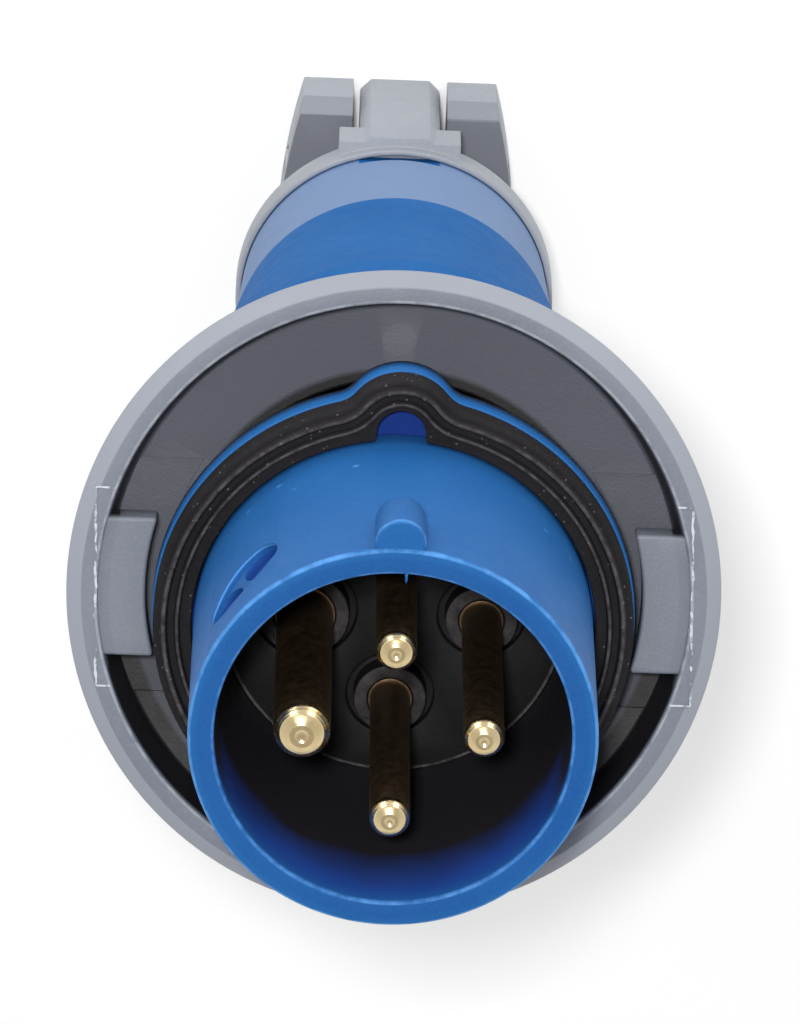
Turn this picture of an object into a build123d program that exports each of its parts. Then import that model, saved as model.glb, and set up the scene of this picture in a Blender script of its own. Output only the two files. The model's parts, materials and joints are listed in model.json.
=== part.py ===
from build123d import *
from math import cos, radians, sin, sqrt
import os

# Pin and sleeve plug, watertight, with a bayonet locking ring and a cord clamp at the rear.
# Millimetres. The plug stands on its rear end: Z is the plug's axis, the mouth of the sleeve is on top.
# The key of the sleeve is on the -Y side and the earth pin on the +X side.

os.makedirs("parts", exist_ok=True)

# Overall size and clearances
plug_length = 173.0
running_gap = 0.3
seat_gap = 0.1

# Sleeve housing
sleeve_radius = 24.8
sleeve_wall = 3.2
sleeve_to_flange = 37.0
flange_width = 5.3
flange_thickness = 3.5
bump_radius = 7.3
bump_offset = 1.2
bump_blend = 4.0
hub_step = 0.6
spigot_wall = 3.4
spigot_length = 15.7
mouth_chamfer = 0.5
key_radius = 3.1
key_rise = 3.8
key_length = 8.7
recess_length = 12.4
recess_width = 7.4
recess_depth = 0.7
recess_pocket_depth = 1.7
recess_pocket_length = 5.6
recess_pocket_width = 5.8
recess_below_mouth = 10.2
recess_angle = -39.6
recess_slant = 24.5

# Contact carrier and pins
carrier_below_mouth = 39.0
carrier_thickness = 16.0
boss_height = 1.8
boss_wall = 1.6
boss_groove_width = 1.0
boss_groove_depth = 1.2
pin_circle_radius = 11.0
line_pin_radius = 2.5
earth_pin_radius = 3.5
pin_below_mouth = 0.2
earth_pin_lead = 0.2
pin_root_step = 0.3
tip_dimple_depth = 0.5
# Shares of a pin's radius that give the form of its tip
tip_length_share = 0.52
tip_flat_share = 0.42
tip_dimple_share = 0.25
tip_bulge_share = 0.76
tip_bulge_drop_share = 0.2
barrel_radius = 4.6
barrel_length = 19.0
barrel_seat_depth = 4.0
conductor_radius = 2.2
conductor_depth = 11.0
carrier_screw_radius = 1.2
carrier_screw_depth = 9.0
carrier_screw_inset = 2.8
carrier_screw_lug = 3.4
carrier_screw_lug_length = 8.0
terminal_screw_radius = 1.5
small_head_radius = 2.4
small_head_height = 1.6

# Face gasket
gasket_thickness = 3.0
gasket_inset = 0.2
ridge_height = 0.7
ridge_insets = ((0.9, 2.0), (2.9, 3.5))
key_slot_radius = 3.05
key_slot_depth = 4.2

# Locking ring
# It is a loose fit and hangs tipped on the hub, its key side towards the rear
ring_tip_angle = 11.5
ring_radius = 41.0
rim_width = 4.0
rim_flat_width = 2.0
rim_edge_drop = 1.6
dish_depth = 9.0
dish_draft = 1.3
floor_thickness = 3.0
skirt_length = 3.0
skirt_wall = 2.4
ring_taper = 3.8
ring_hub_wall = 2.8
ring_hub_length = 7.0
lug_width = 17.6
lug_thickness = 5.5
lug_set_back = 0.6
lug_corner = 1.2
pocket_inner_radius = 28.5
pocket_width = 30.0
pocket_depth = 0.6

# Body seal
seal_section = 0.9
seal_groove_width = 2.2
seal_from_spigot_end = 5.0

# Rear body
body_radius = 21.9
front_collar_step = 2.8
body_taper_length = 37.0
shoulder_from_rear = 44.0
body_end_radius = 20.9
body_wall = 3.2
rear_wall = 3.0
notch_width = 11.2
notch_length = 4.5
lock_screw_radius = 1.5
lock_screw_from_front = 5.5
lock_screw_depth = 1.4
lock_screw_sink = 0.5
lock_screw_socket = 0.8

# Rear collar and its posts
collar_lip_wall = 0.7
collar_lip_length = 1.5
collar_plate = 4.2
collar_web = 1.5
collar_rear_chamfer = 2.4
post_length = 17.8
post_width = 11.0
post_inner = 13.6
post_outer = 23.2
post_chamfer = 1.5
step_width = 16.6
step_outer = 22.4
collar_screw_circle = 16.0
collar_screw_length = 13.0

# Cord grommet and grip washer
grommet_radius = 11.9
grommet_bore = 6.5
grommet_length = 12.0
washer_thickness = 1.5
washer_bore_margin = 1.0

# Cord clamp
jaw_length = 11.3
jaw_half_height = 23.1
jaw_waist = 16.4
jaw_end = 13.3
jaw_half_gap = 0.9
jaw_post_gap = 1.0
jaw_step_gap = 0.5
jaw_bore = 7.5
jaw_chamfer_length = 3.6
jaw_chamfer_depth = 1.5
clamp_screw_radius = 2.0
clamp_screw_offset = 10.4
clamp_head_radius = 3.8
clamp_head_height = 2.2
clamp_slot_turn = 25.0
clamp_washer_thickness = 0.8
clamp_seat = 12.5
nut_across_flats = 7.0
nut_thickness = 2.8

# Heights worked out from the sizes above
mouth_z = plug_length
flange_front_z = mouth_z - sleeve_to_flange
flange_back_z = flange_front_z - flange_thickness
carrier_face_z = mouth_z - carrier_below_mouth
carrier_back_z = carrier_face_z - carrier_thickness
boss_top_z = carrier_face_z + boss_height
flange_radius = sleeve_radius + flange_width
bump_centre = sleeve_radius + bump_offset
hub_radius = sleeve_radius - hub_step
front_collar_radius = hub_radius + front_collar_step
rim_inner_radius = ring_radius - rim_width
tip_sin = sin(radians(ring_tip_angle))
tip_cos = cos(radians(ring_tip_angle))
ring_bore = (hub_radius + running_gap + ring_hub_length / 2 * tip_sin) / tip_cos
ring_hub_radius = ring_bore + ring_hub_wall
# The tipped ring leans on the back of the flange, and its hub clears the front of the rear body
lean_radius = (flange_radius + ring_hub_length / 2 * tip_sin) / tip_cos
ring_centre_z = flange_back_z - running_gap - ring_hub_length / 2 * tip_cos - lean_radius * tip_sin
body_front_z = ring_centre_z - ring_hub_length / 2 * tip_cos - ring_hub_radius * tip_sin - running_gap
# The lugs clear the edge of the flange, also at the corner that the tip brings nearest
lug_front = ring_hub_length / 2 + dish_depth - lug_set_back
lug_near_y = lug_width / 2 * tip_cos - lug_front * tip_sin
lug_inner_radius = sqrt((flange_radius + running_gap) ** 2 + (lug_width / 2) ** 2 - lug_near_y ** 2)
spigot_end_z = body_front_z - spigot_length
spigot_bore = pin_circle_radius + barrel_radius + seat_gap + small_head_height + running_gap
spigot_radius = spigot_bore + spigot_wall
carrier_screw_circle = spigot_bore - carrier_screw_inset
barrel_front_z = carrier_back_z + barrel_seat_depth
barrel_rear_z = barrel_front_z - barrel_length
collar_rear_z = post_length
body_rear_z = collar_rear_z + collar_web + collar_plate
grommet_front_z = collar_rear_z + collar_web + grommet_length
washer_front_z = grommet_front_z + washer_thickness
chamber_rear_z = washer_front_z + seat_gap + rear_wall
sleeve_bore = sleeve_radius - sleeve_wall
pin_angles = {"earth_pin": 0.0, "line_pin_1": 90.0, "line_pin_2": 180.0, "line_pin_3": 270.0}
carrier_screw_angles = (45.0, 225.0)


def pin_radius(name):
    """Radius of the shaft of a named pin."""
    return earth_pin_radius if name == "earth_pin" else line_pin_radius


def pin_tip(name):
    """Height of the tip of a named pin; the earth pin is longer, to meet its socket first."""
    return mouth_z - pin_below_mouth + (earth_pin_lead if name == "earth_pin" else 0)


def pin_hole(name):
    """Radius of the carrier's hole for the thicker root of a named pin."""
    return pin_radius(name) + pin_root_step + seat_gap


def on_circle(radius, angle):
    """Point of the XY plane on a circle round the axis."""
    return (radius * cos(radians(angle)), radius * sin(radians(angle)))


def half_section(points, plane=Plane.XZ):
    """Closed outline of (radius, height) points, in a plane through the axis."""
    with BuildSketch(plane) as section:
        with BuildLine():
            Polyline(*points, close=True)
        make_face()
    return section.sketch


def radial_plane(angle, distance, height):
    """Plane that faces outwards at an angle round the axis, with its X tangent and its Y along the axis."""
    normal = (cos(radians(angle)), sin(radians(angle)), 0)
    tangent = (-sin(radians(angle)), cos(radians(angle)), 0)
    return Plane((*on_circle(distance, angle), height), x_dir=tangent, z_dir=normal)


def flange_outline(inset, height):
    """Outline of the flange with its bump at the key, drawn in by inset, at a height."""
    rim = flange_radius - inset
    bump = bump_radius - inset
    blend = bump_blend + inset
    # The blend's centre is one blend radius outside both circles, so an inset leaves it where it is
    centre_y = ((bump + blend) ** 2 - (rim + blend) ** 2 - bump_centre ** 2) / (2 * bump_centre)
    blend_centre = Vector(sqrt((rim + blend) ** 2 - centre_y ** 2), centre_y)
    bump_middle = Vector(0, -bump_centre)
    on_rim = blend_centre * (rim / (rim + blend))
    on_bump = bump_middle + (blend_centre - bump_middle) * (bump / (bump + blend))
    on_blend = blend_centre + ((on_rim + on_bump) * 0.5 - blend_centre).normalized() * blend
    with BuildSketch(Plane.XY.offset(height)) as outline:
        with BuildLine():
            ThreePointArc(on_rim, (0, rim), (-on_rim.X, on_rim.Y))
            ThreePointArc((-on_rim.X, on_rim.Y), (-on_blend.X, on_blend.Y), (-on_bump.X, on_bump.Y))
            ThreePointArc((-on_bump.X, on_bump.Y), (0, -bump_centre - bump), on_bump)
            ThreePointArc(on_bump, on_blend, on_rim)
        make_face()
    return outline.sketch


def disc(radius, height, centre=(0, 0)):
    """Round outline at a height."""
    with BuildSketch(Plane.XY.offset(height)) as outline:
        with Locations(centre):
            Circle(radius)
    return outline.sketch


# Recess of the sleeve: oval and slanted, shallow in its middle and deeper at its ends
recess_plane = radial_plane(recess_angle, sleeve_radius, mouth_z - recess_below_mouth)
pocket_shift = (recess_length - recess_pocket_length) / 2
pocket_along = pocket_shift * cos(radians(recess_slant))
pocket_up = pocket_shift * sin(radians(recess_slant))
with BuildPart() as recess_middle:
    with BuildSketch(recess_plane):
        Ellipse(recess_length / 2, recess_width / 2, rotation=recess_slant)
    extrude(amount=sleeve_wall, both=True)
    extrude(disc(sleeve_radius - recess_depth, 0), amount=plug_length, mode=Mode.SUBTRACT)
with BuildPart() as recess_pockets:
    with BuildSketch(recess_plane):
        with Locations((-pocket_along, -pocket_up), (pocket_along, pocket_up)):
            Ellipse(recess_pocket_length / 2, recess_pocket_width / 2, rotation=recess_slant)
        Ellipse(recess_length / 2, recess_width / 2, rotation=recess_slant, mode=Mode.INTERSECT)
    extrude(amount=sleeve_wall, both=True)
    extrude(disc(sleeve_radius - recess_pocket_depth, 0), amount=plug_length, mode=Mode.SUBTRACT)

# Sleeve housing: sleeve with key and recess, flange with bump, hub for the ring and spigot for the body
with BuildPart() as sleeve_housing:
    revolve(half_section([
        (sleeve_bore, mouth_z - mouth_chamfer),
        (sleeve_bore + mouth_chamfer, mouth_z),
        (sleeve_radius - mouth_chamfer, mouth_z),
        (sleeve_radius, mouth_z - mouth_chamfer),
        (sleeve_radius, flange_back_z),
        (hub_radius, flange_back_z),
        (hub_radius, body_front_z),
        (spigot_radius, body_front_z),
        (spigot_radius, spigot_end_z),
        (spigot_bore, spigot_end_z),
        (spigot_bore, carrier_back_z),
        (sleeve_bore, carrier_back_z),
    ]), axis=Axis.Z)
    extrude(flange_outline(0, flange_back_z), amount=flange_thickness)
    extrude(disc(sleeve_bore, flange_back_z), amount=flange_thickness, mode=Mode.SUBTRACT)
    key_centre = (0, -(sleeve_radius + key_rise - key_radius))
    key_body_length = key_length - mouth_chamfer
    extrude(disc(key_radius, mouth_z - key_length, key_centre), amount=key_body_length)
    extrude(disc(key_radius, mouth_z - mouth_chamfer, key_centre), amount=mouth_chamfer, taper=45)
    add(recess_middle.part, mode=Mode.SUBTRACT)
    add(recess_pockets.part, mode=Mode.SUBTRACT)
    # Lugs inside the spigot for the carrier screws
    for angle in carrier_screw_angles:
        lug_centre = on_circle(carrier_screw_circle, angle)
        lug_rear_z = carrier_back_z - carrier_screw_lug_length
        extrude(disc(carrier_screw_lug, lug_rear_z, lug_centre), amount=carrier_screw_lug_length)
        hole = disc(carrier_screw_radius + seat_gap, lug_rear_z, lug_centre)
        extrude(hole, amount=carrier_screw_lug_length, mode=Mode.SUBTRACT)
    # Groove for the body seal
    seal_z = spigot_end_z + seal_from_spigot_end
    seal_radius = spigot_radius + seat_gap - seal_section
    groove_floor = seal_radius - seal_section
    revolve(half_section([
        (groove_floor, seal_z - seal_groove_width / 2),
        (spigot_radius + running_gap, seal_z - seal_groove_width / 2),
        (spigot_radius + running_gap, seal_z + seal_groove_width / 2),
        (groove_floor, seal_z + seal_groove_width / 2),
    ]), axis=Axis.Z, mode=Mode.SUBTRACT)
    # Blind hole for the lock screw
    lock_z = body_front_z - lock_screw_from_front
    with BuildSketch(radial_plane(90, spigot_radius - lock_screw_depth, lock_z)):
        Circle(lock_screw_radius + seat_gap)
    extrude(amount=2 * lock_screw_depth, mode=Mode.SUBTRACT)
sleeve_housing.part.label = "sleeve_housing"
export_step(sleeve_housing.part, "parts/sleeve_housing.step")

# Contact carrier: a disc with a raised boss and a groove round each pin
with BuildPart() as contact_carrier:
    extrude(disc(sleeve_bore - seat_gap, carrier_back_z), amount=carrier_thickness)
    for name, angle in pin_angles.items():
        centre = on_circle(pin_circle_radius, angle)
        boss_radius = pin_hole(name) + boss_wall
        groove = disc(boss_radius + boss_groove_width, carrier_face_z, centre)
        extrude(groove, amount=-boss_groove_depth, mode=Mode.SUBTRACT)
    for name, angle in pin_angles.items():
        centre = on_circle(pin_circle_radius, angle)
        boss_radius = pin_hole(name) + boss_wall
        boss = disc(boss_radius, carrier_face_z - boss_groove_depth, centre)
        extrude(boss, amount=boss_groove_depth + boss_height)
        through = disc(pin_hole(name), carrier_back_z, centre)
        extrude(through, amount=carrier_thickness + boss_height, mode=Mode.SUBTRACT)
        seat = disc(barrel_radius + seat_gap, carrier_back_z, centre)
        extrude(seat, amount=barrel_seat_depth, mode=Mode.SUBTRACT)
    for angle in carrier_screw_angles:
        hole = disc(carrier_screw_radius + seat_gap, carrier_back_z, on_circle(carrier_screw_circle, angle))
        extrude(hole, amount=carrier_screw_depth + seat_gap, mode=Mode.SUBTRACT)
contact_carrier.part.label = "contact_carrier"
export_step(contact_carrier.part, "parts/contact_carrier.step")


def contact_pin(name):
    """Turned pin with a rounded tip, and a barrel at its rear for the conductor and its screw."""
    radius = pin_radius(name)
    pin_tip_z = pin_tip(name)
    angle = pin_angles[name]
    centre = on_circle(pin_circle_radius, angle)
    tip_flat = tip_flat_share * radius
    tip_length = tip_length_share * radius
    bulge = (tip_bulge_share * radius, pin_tip_z - tip_bulge_drop_share * radius)
    dimple = (tip_dimple_share * radius, pin_tip_z)
    with BuildPart() as pin:
        with BuildSketch(Plane((*centre, 0), x_dir=(1, 0, 0), z_dir=(0, -1, 0))):
            with BuildLine():
                Polyline(
                    (0, pin_tip_z - tip_dimple_depth),
                    (0, barrel_rear_z),
                    (barrel_radius, barrel_rear_z),
                    (barrel_radius, barrel_front_z),
                    (radius + pin_root_step, barrel_front_z),
                    (radius + pin_root_step, boss_top_z),
                    (radius, boss_top_z),
                    (radius, pin_tip_z - tip_length),
                )
                ThreePointArc((radius, pin_tip_z - tip_length), bulge, (tip_flat, pin_tip_z))
                Polyline((tip_flat, pin_tip_z), dimple, (0, pin_tip_z - tip_dimple_depth))
            make_face()
        revolve(axis=Axis((*centre, 0), (0, 0, 1)))
        extrude(disc(conductor_radius, barrel_rear_z, centre), amount=conductor_depth, mode=Mode.SUBTRACT)
        with BuildSketch(radial_plane(angle, pin_circle_radius, barrel_rear_z + conductor_depth / 2)):
            Circle(terminal_screw_radius + seat_gap)
        extrude(amount=2 * barrel_radius, mode=Mode.SUBTRACT)
    pin.part.label = name
    export_step(pin.part, f"parts/{name}.step")


for pin_name in pin_angles:
    contact_pin(pin_name)

# Terminal screws: one in each barrel, from outside
with BuildPart() as terminal_screws:
    for angle in pin_angles.values():
        screw_z = barrel_rear_z + conductor_depth / 2
        with BuildSketch(radial_plane(angle, pin_circle_radius + conductor_radius, screw_z)):
            Circle(terminal_screw_radius)
        extrude(amount=barrel_radius - conductor_radius + seat_gap)
        with BuildSketch(radial_plane(angle, pin_circle_radius + barrel_radius + seat_gap, screw_z)):
            Circle(small_head_radius)
        extrude(amount=small_head_height)
terminal_screws.part.label = "terminal_screws"
export_step(terminal_screws.part, "parts/terminal_screws.step")

# Carrier screws: from the rear, through the lugs of the housing into the carrier
with BuildPart() as carrier_screws:
    for angle in carrier_screw_angles:
        centre = on_circle(carrier_screw_circle, angle)
        head_front_z = carrier_back_z - carrier_screw_lug_length
        shank_length = carrier_screw_lug_length + carrier_screw_depth
        extrude(disc(carrier_screw_radius, head_front_z, centre), amount=shank_length)
        extrude(disc(small_head_radius, head_front_z, centre), amount=-small_head_height)
carrier_screws.part.label = "carrier_screws"
export_step(carrier_screws.part, "parts/carrier_screws.step")

# Face gasket: follows the flange, with two raised ridges and a slot for the socket's key
with BuildPart() as gasket:
    extrude(flange_outline(gasket_inset, flange_front_z), amount=gasket_thickness)
    for outer_inset, inner_inset in ridge_insets:
        ridge = flange_outline(outer_inset, flange_front_z) - flange_outline(inner_inset, flange_front_z)
        extrude(ridge, amount=gasket_thickness + ridge_height)
    gasket_height = gasket_thickness + ridge_height
    extrude(disc(sleeve_radius + running_gap, flange_front_z), amount=gasket_height, mode=Mode.SUBTRACT)
    slot_centre = sleeve_radius + key_slot_depth - key_slot_radius
    with BuildSketch(Plane.XY.offset(flange_front_z)):
        with Locations((0, -slot_centre)):
            Circle(key_slot_radius)
        with Locations((0, -slot_centre / 2)):
            Rectangle(2 * key_slot_radius, slot_centre)
    extrude(amount=gasket_height, mode=Mode.SUBTRACT)
gasket.part.label = "gasket"
export_step(gasket.part, "parts/gasket.step")

# Locking ring: a dish with a broad rim, bayonet lugs inside the rim and a bore that turns on the hub
# Its heights are measured along its own tipped axis, from the middle of its bore
ring_plane = Plane((0, 0, ring_centre_z), x_dir=(1, 0, 0), z_dir=(0, -tip_sin, tip_cos))
ring_section = Plane(ring_plane.origin, x_dir=ring_plane.x_dir, z_dir=-ring_plane.y_dir)
with BuildPart() as locking_ring:
    floor_front = ring_hub_length / 2
    floor_back = floor_front - floor_thickness
    skirt_back = floor_back - skirt_length
    rim_front = floor_front + dish_depth
    dish_foot_radius = rim_inner_radius - dish_draft
    ring_back_radius = ring_radius - ring_taper
    revolve(half_section([
        (rim_inner_radius, rim_front),
        (rim_inner_radius + rim_flat_width, rim_front),
        (ring_radius, rim_front - rim_edge_drop),
        (ring_back_radius, skirt_back),
        (ring_back_radius - skirt_wall, skirt_back),
        (ring_back_radius - skirt_wall, floor_back),
        (ring_hub_radius, floor_back),
        (ring_hub_radius, -ring_hub_length / 2),
        (ring_bore, -ring_hub_length / 2),
        (ring_bore, floor_front),
        (dish_foot_radius, floor_front),
    ], ring_section), axis=Axis(ring_plane.origin, ring_plane.z_dir))
    # Shallow pockets in the floor below the lugs, then the lugs
    with BuildSketch(ring_plane.offset(floor_front)):
        Rectangle(2 * dish_foot_radius, pocket_width)
        Circle(pocket_inner_radius, mode=Mode.SUBTRACT)
        Circle(dish_foot_radius, mode=Mode.INTERSECT)
    extrude(amount=-pocket_depth, mode=Mode.SUBTRACT)
    with BuildSketch(ring_plane.offset(lug_front)) as lugs:
        Rectangle(2 * ring_radius, lug_width)
        Circle(lug_inner_radius, mode=Mode.SUBTRACT)
        Circle(rim_inner_radius + rim_flat_width / 2, mode=Mode.INTERSECT)
        inner_corners = lugs.vertices().filter_by(lambda v: abs(v.X) < rim_inner_radius - 2 * lug_corner)
        fillet(inner_corners, lug_corner)
    extrude(amount=-lug_thickness)
locking_ring.part.label = "locking_ring"
export_step(locking_ring.part, "parts/locking_ring.step")

# Body seal: an O-ring in the groove of the spigot
with BuildPart() as body_seal:
    with BuildSketch(Plane.XZ):
        with Locations((seal_radius, seal_z)):
            Circle(seal_section)
    revolve(axis=Axis.Z)
body_seal.part.label = "body_seal"
export_step(body_seal.part, "parts/body_seal.step")

# Rear body: a shell with a socket for the spigot, a cone at its rear and a seat for the grommet
with BuildPart() as rear_body:
    socket_z = spigot_end_z - running_gap
    collar_foot_z = shoulder_from_rear + body_taper_length
    cone_end_z = body_rear_z + collar_lip_length
    chamber_radius = body_radius - body_wall
    chamber_end_radius = body_end_radius - body_wall
    grommet_seat = grommet_radius + seat_gap
    washer_bore = grommet_bore + washer_bore_margin
    revolve(half_section([
        (spigot_radius + seat_gap, body_front_z),
        (front_collar_radius, body_front_z),
        (front_collar_radius, collar_foot_z),
        (body_radius, shoulder_from_rear),
        (body_end_radius, cone_end_z),
        (body_end_radius, body_rear_z),
        (grommet_seat, body_rear_z),
        (grommet_seat, washer_front_z + seat_gap),
        (washer_bore, washer_front_z + seat_gap),
        (washer_bore, chamber_rear_z),
        (chamber_end_radius, chamber_rear_z),
        (chamber_radius, shoulder_from_rear + body_wall),
        (chamber_radius, socket_z),
        (spigot_radius + seat_gap, socket_z),
    ]), axis=Axis.Z)
    # Flat notch beside the collar's lip, on the key side
    notch_flat = sqrt(body_end_radius ** 2 - (notch_width / 2) ** 2)
    notch_depth = body_radius - notch_flat
    with BuildSketch(Plane.XY.offset(body_rear_z)):
        with Locations((0, -(notch_flat + notch_depth / 2))):
            Rectangle(notch_width, notch_depth)
    extrude(amount=collar_lip_length + notch_length, mode=Mode.SUBTRACT)
    # Hole for the lock screw, and blind holes for the collar screws
    with BuildSketch(radial_plane(90, spigot_radius, lock_z)):
        Circle(lock_screw_radius + seat_gap)
    extrude(amount=front_collar_radius - spigot_radius + running_gap, mode=Mode.SUBTRACT)
    collar_screw_tip_z = body_rear_z + collar_screw_length - collar_plate - collar_web + small_head_height
    for side in (-1, 1):
        hole = disc(carrier_screw_radius + seat_gap, body_rear_z, (side * collar_screw_circle, 0))
        extrude(hole, amount=collar_screw_tip_z - body_rear_z + seat_gap, mode=Mode.SUBTRACT)
rear_body.part.label = "rear_body"
export_step(rear_body.part, "parts/rear_body.step")

# Lock screw: a headless screw that keeps the rear body from turning on the spigot
with BuildPart() as body_lock_screw:
    lock_inner = spigot_radius - lock_screw_depth + seat_gap
    lock_length = front_collar_radius - lock_inner - lock_screw_sink
    with BuildSketch(radial_plane(90, lock_inner, lock_z)):
        Circle(lock_screw_radius)
    extrude(amount=lock_length)
    with BuildSketch(radial_plane(90, lock_inner + lock_length, lock_z)):
        RegularPolygon(lock_screw_socket, 6)
    extrude(amount=-lock_screw_radius, mode=Mode.SUBTRACT)
body_lock_screw.part.label = "body_lock_screw"
export_step(body_lock_screw.part, "parts/body_lock_screw.step")

# Rear collar: a ring whose lip holds the end of the body, with two posts that guide the clamp
with BuildPart() as rear_collar:
    lip_bore = body_end_radius + seat_gap
    lip_radius = lip_bore + collar_lip_wall
    web_front_z = collar_rear_z + collar_web
    lip_front_z = body_rear_z + collar_lip_length
    revolve(half_section([
        (jaw_bore, collar_rear_z),
        (lip_radius - collar_rear_chamfer, collar_rear_z),
        (lip_radius, collar_rear_z + collar_rear_chamfer),
        (lip_radius, lip_front_z),
        (lip_bore, lip_front_z),
        (lip_bore, body_rear_z),
        (grommet_seat, body_rear_z),
        (grommet_seat, web_front_z),
        (jaw_bore, web_front_z),
    ]), axis=Axis.Z)
    post_middle = (post_inner + post_outer) / 2
    with BuildSketch() as posts:
        with Locations((0, -post_middle), (0, post_middle)):
            Rectangle(post_width, post_outer - post_inner)
        outer_corners = posts.vertices().filter_by(lambda v: abs(v.Y) > post_middle)
        chamfer(outer_corners, post_chamfer)
    extrude(amount=body_rear_z)
    step_middle = (post_inner + step_outer) / 2
    with BuildSketch(Plane.XY.offset(collar_rear_z)):
        with Locations((0, -step_middle), (0, step_middle)):
            Rectangle(step_width, step_outer - post_inner)
    extrude(amount=collar_plate + collar_web)
    for side in (-1, 1):
        centre = (side * collar_screw_circle, 0)
        head_seat = disc(small_head_radius + seat_gap, collar_rear_z, centre)
        extrude(head_seat, amount=small_head_height + seat_gap, mode=Mode.SUBTRACT)
        hole = disc(carrier_screw_radius + seat_gap, collar_rear_z, centre)
        extrude(hole, amount=collar_plate + collar_web, mode=Mode.SUBTRACT)
rear_collar.part.label = "rear_collar"
export_step(rear_collar.part, "parts/rear_collar.step")

# Collar screws: from the rear, through the collar into the body
with BuildPart() as collar_screws:
    for side in (-1, 1):
        centre = (side * collar_screw_circle, 0)
        head_front_z = collar_rear_z + small_head_height + seat_gap
        extrude(disc(carrier_screw_radius, head_front_z, centre), amount=collar_screw_tip_z - head_front_z)
        extrude(disc(small_head_radius, head_front_z, centre), amount=-small_head_height)
collar_screws.part.label = "collar_screws"
export_step(collar_screws.part, "parts/collar_screws.step")

# Cord grommet: a rubber bush in the collar and the end of the body
with BuildPart() as cord_grommet:
    extrude(disc(grommet_radius, web_front_z), amount=grommet_length)
    extrude(disc(grommet_bore, web_front_z), amount=grommet_length, mode=Mode.SUBTRACT)
cord_grommet.part.label = "cord_grommet"
export_step(cord_grommet.part, "parts/cord_grommet.step")

# Grip washer: between the grommet and the body's rear wall
with BuildPart() as grip_washer:
    extrude(disc(grommet_radius, grommet_front_z), amount=washer_thickness)
    extrude(disc(washer_bore, grommet_front_z), amount=washer_thickness, mode=Mode.SUBTRACT)
grip_washer.part.label = "grip_washer"
export_step(grip_washer.part, "parts/grip_washer.step")

clamp_screw_z = jaw_length / 2
nut_corner_radius = nut_across_flats / sqrt(3)


def side_plane(side, distance):
    """Plane across the X axis at a distance from the middle, facing outwards on that side."""
    return Plane((side * distance, 0, clamp_screw_z), x_dir=(0, 1, 0), z_dir=(side, 0, 0))


def clamp_jaw(name, side):
    """Clamp jaw on one side of the posts, with half of the cord's way and seats for two screws or nuts."""
    step = post_inner - jaw_step_gap
    flank = post_width / 2 + jaw_post_gap
    with BuildPart() as jaw:
        with BuildSketch():
            with BuildLine():
                Polyline(
                    (side * jaw_end, jaw_half_height),
                    (side * flank, jaw_half_height),
                    (side * flank, step),
                    (side * jaw_half_gap, step),
                    (side * jaw_half_gap, -step),
                    (side * flank, -step),
                    (side * flank, -jaw_half_height),
                    (side * jaw_end, -jaw_half_height),
                )
                ThreePointArc(
                    (side * jaw_end, -jaw_half_height),
                    (side * jaw_waist, 0),
                    (side * jaw_end, jaw_half_height),
                )
            make_face()
            Circle(jaw_bore, mode=Mode.SUBTRACT)
        extrude(amount=jaw_length)
        for end in (-1, 1):
            with BuildSketch(Plane.YZ):
                with BuildLine():
                    Polyline(
                        (end * jaw_half_height, jaw_length - jaw_chamfer_length),
                        (end * jaw_half_height, jaw_length),
                        (end * (jaw_half_height - jaw_chamfer_depth), jaw_length),
                        close=True,
                    )
                make_face()
            extrude(amount=jaw_waist, both=True, mode=Mode.SUBTRACT)
        with BuildSketch(side_plane(side, 0)):
            with Locations((-clamp_screw_offset, 0), (clamp_screw_offset, 0)):
                Circle(clamp_screw_radius + running_gap)
        extrude(amount=jaw_waist + running_gap, mode=Mode.SUBTRACT)
        with BuildSketch(side_plane(side, clamp_seat)):
            with Locations((-clamp_screw_offset, 0), (clamp_screw_offset, 0)):
                if side > 0:
                    Circle(clamp_head_radius + 2 * running_gap)
                else:
                    RegularPolygon(nut_corner_radius + running_gap, 6)
        extrude(amount=jaw_waist, mode=Mode.SUBTRACT)
    jaw.part.label = name
    export_step(jaw.part, f"parts/{name}.step")


clamp_jaw("clamp_jaw_left", 1)
clamp_jaw("clamp_jaw_right", -1)

# Clamp screws, their washers and their nuts
screw_places = ((-clamp_screw_offset, 0), (clamp_screw_offset, 0))
head_seat_x = clamp_seat + clamp_washer_thickness
nut_outer_x = clamp_seat + nut_thickness
with BuildPart() as clamp_screws:
    with BuildSketch(side_plane(1, head_seat_x)):
        with Locations(*screw_places):
            Circle(clamp_screw_radius)
    extrude(amount=-(head_seat_x + nut_outer_x))
    with BuildSketch(side_plane(1, head_seat_x)):
        with Locations(*screw_places):
            Circle(clamp_head_radius)
    extrude(amount=clamp_head_height)
    with BuildSketch(side_plane(1, head_seat_x + clamp_head_height)):
        with Locations(*screw_places):
            Rectangle(2 * clamp_head_radius, clamp_head_height / 2, rotation=clamp_slot_turn)
    extrude(amount=-clamp_head_height / 2, mode=Mode.SUBTRACT)
clamp_screws.part.label = "clamp_screws"
export_step(clamp_screws.part, "parts/clamp_screws.step")

with BuildPart() as clamp_washers:
    with BuildSketch(side_plane(1, clamp_seat)):
        with Locations(*screw_places):
            Circle(clamp_head_radius + running_gap)
            Circle(clamp_screw_radius + seat_gap, mode=Mode.SUBTRACT)
    extrude(amount=clamp_washer_thickness)
clamp_washers.part.label = "clamp_washers"
export_step(clamp_washers.part, "parts/clamp_washers.step")

with BuildPart() as clamp_nuts:
    with BuildSketch(side_plane(-1, clamp_seat)):
        with Locations(*screw_places):
            RegularPolygon(nut_corner_radius, 6)
            Circle(clamp_screw_radius + running_gap / 2, mode=Mode.SUBTRACT)
    extrude(amount=nut_thickness)
clamp_nuts.part.label = "clamp_nuts"
export_step(clamp_nuts.part, "parts/clamp_nuts.step")
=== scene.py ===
import json
import random
from math import atan2, asin, cos, pi, radians, sin, sqrt, tan

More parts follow.
